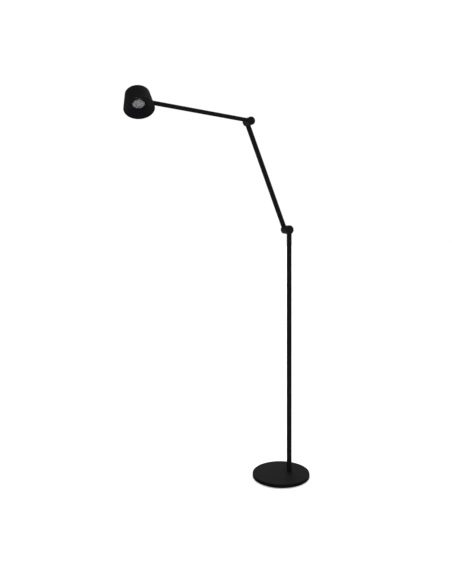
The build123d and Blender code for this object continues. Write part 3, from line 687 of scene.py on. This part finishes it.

# ---------------------------------------------------------------- return spring
# The spring under the button is wound from zinc-plated spring wire.  It stands on the switch's
# body.  On the real switch it shortens as the button is pressed; here it is built at rest and
# fixed to the head.


def wound(name, radius, pitch, wire, start, end, foot, way, steps=10):
    """A coil of wire.  At turn angle a its middle lies at radius times (side cos a + cross sin
    a) and at height start + pitch a / 2 pi, up to the end, and a circle of the wire's radius
    lies round it, square to the coil.  A point at each end closes it."""
    side = np.cross(way, (0.0, 1.0, 0.0))
    side /= np.linalg.norm(side)
    cross = np.cross(way, side)
    a = np.linspace(0, 2 * np.pi * (end - start) / pitch, 160)[:, None]
    out, ahead = np.cos(a) * side + np.sin(a) * cross, np.cos(a) * cross - np.sin(a) * side
    line = foot + (radius * out + (start + pitch * a / (2 * np.pi)) * way) / 1000
    ahead = radius * ahead + pitch / (2 * np.pi) * way
    ahead /= np.linalg.norm(ahead, axis=1, keepdims=True)
    up = np.cross(ahead, out)
    b = np.linspace(0, -2 * np.pi, steps, endpoint=False)[None, :, None]
    coil = line[:, None] + wire / 1000 * (np.cos(b) * out[:, None] + np.sin(b) * up[:, None])
    first, last = np.repeat(line[:1, None], steps, axis=1), np.repeat(line[-1:, None], steps, axis=1)
    return skin(name, np.concatenate([first, coil, last]), loop=False)


spring_radius, spring_pitch, spring_wire = 3.4, 0.9, 0.25
spring_start, spring_end = 30.3, 33.7
spring = wound(
    "spring", spring_radius, spring_pitch, spring_wire, spring_start, spring_end,
    shell_middle, head_up,
)
fit(spring, "head", "zinc_steel", zinc, "switch_spring")
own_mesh(spring)

# ---------------------------------------------------------------- floor
# The lamp stands on a wide, plain studio floor.  It is painted a matt off-white, and has only
# the faintest unevenness.

floor_white = finish(
    "floor_white", dark=(0.66, 0.66, 0.66), pale=(0.68, 0.68, 0.68), patch=0.5,
    grain=0.004, depth=0.00005, smooth=0.8, rough=0.95, gloss=0.1,
)
floor_reach, tiles = 30, 30
lines = tiles + 1
edges = np.linspace(-floor_reach, floor_reach, lines)
floor_mesh = bpy.data.meshes.new("floor")
floor_x, floor_y = np.meshgrid(edges, edges, indexing="ij")
floor_points = np.stack([floor_x, floor_y, 0 * floor_x], axis=-1).reshape(-1, 3)
corner = (np.arange(tiles)[:, None] * lines + np.arange(tiles)).reshape(-1)
floor_tiles = np.stack([corner, corner + lines, corner + lines + 1, corner + 1], axis=1)
floor_mesh.from_pydata(floor_points.tolist(), [], floor_tiles.tolist())
floor_mesh.materials.append(floor_white)
floor = bpy.data.objects.new("floor", floor_mesh)
bpy.context.collection.objects.link(floor)

# ---------------------------------------------------------------- studio light
# An even white surround, a broad soft light from above and behind, a lower one from behind on
# the right and a weak one from the front.  The stem's shade falls towards the viewer.

bpy.context.scene.view_settings.view_transform = "Standard"
studio = bpy.data.worlds.new("studio")
studio.use_nodes = True
studio.node_tree.nodes["Background"].inputs["Color"].default_value = (1, 1, 1, 1)
studio.node_tree.nodes["Background"].inputs["Strength"].default_value = 1.02
bpy.context.scene.world = studio


def soft_light(name, towards, strength, spread):
    """Even light from one side, as a big soft box far off gives it: strength in watts per
    square metre, from a patch of sky spread degrees wide that lies towards a direction."""
    light = bpy.data.lights.new(name, "SUN")
    light.energy = strength
    light.angle = math.radians(spread)
    lamp = bpy.data.objects.new(name, light)
    bpy.context.collection.objects.link(lamp)
    flat = math.hypot(towards[0], towards[1])
    lamp.rotation_euler = (math.atan2(flat, towards[2]), 0, math.atan2(towards[0], -towards[1]))


right_way, behind_way = np.array([0.883, -0.469, 0]), np.array([0.469, 0.883, 0])
up_way = np.array([0, 0, 1.0])
soft_light("back_light", behind_way * 0.8 + up_way * 0.9 - right_way * 0.15, 3.0, 45)
soft_light("right_light", right_way * 0.8 + behind_way * 0.5 + up_way * 0.35, 3.0, 50)
soft_light("front_light", up_way * 0.2 - behind_way * 0.95, 0.8, 60)

# ---------------------------------------------------------------- camera
# The camera stands level, at the height of the shoulder hinge, in front of the lamp and to its
# left.  It looks a little past the lamp, and its shift brings the whole lamp into the frame.

film_width = 36
eye_turn = 27.98
camera_data = bpy.data.cameras.new("camera")
camera_data.sensor_width = film_width
camera_data.lens = film_width * 581 / 584
camera_data.shift_x = -27.1 / 584
camera_data.shift_y = -63.2 / 584
camera = bpy.data.objects.new("camera", camera_data)
camera.location = (-1.3095, -2.2026, 1.0872)
camera.rotation_euler = (math.pi / 2, 0, -math.radians(eye_turn))
bpy.context.collection.objects.link(camera)
bpy.context.scene.camera = camera
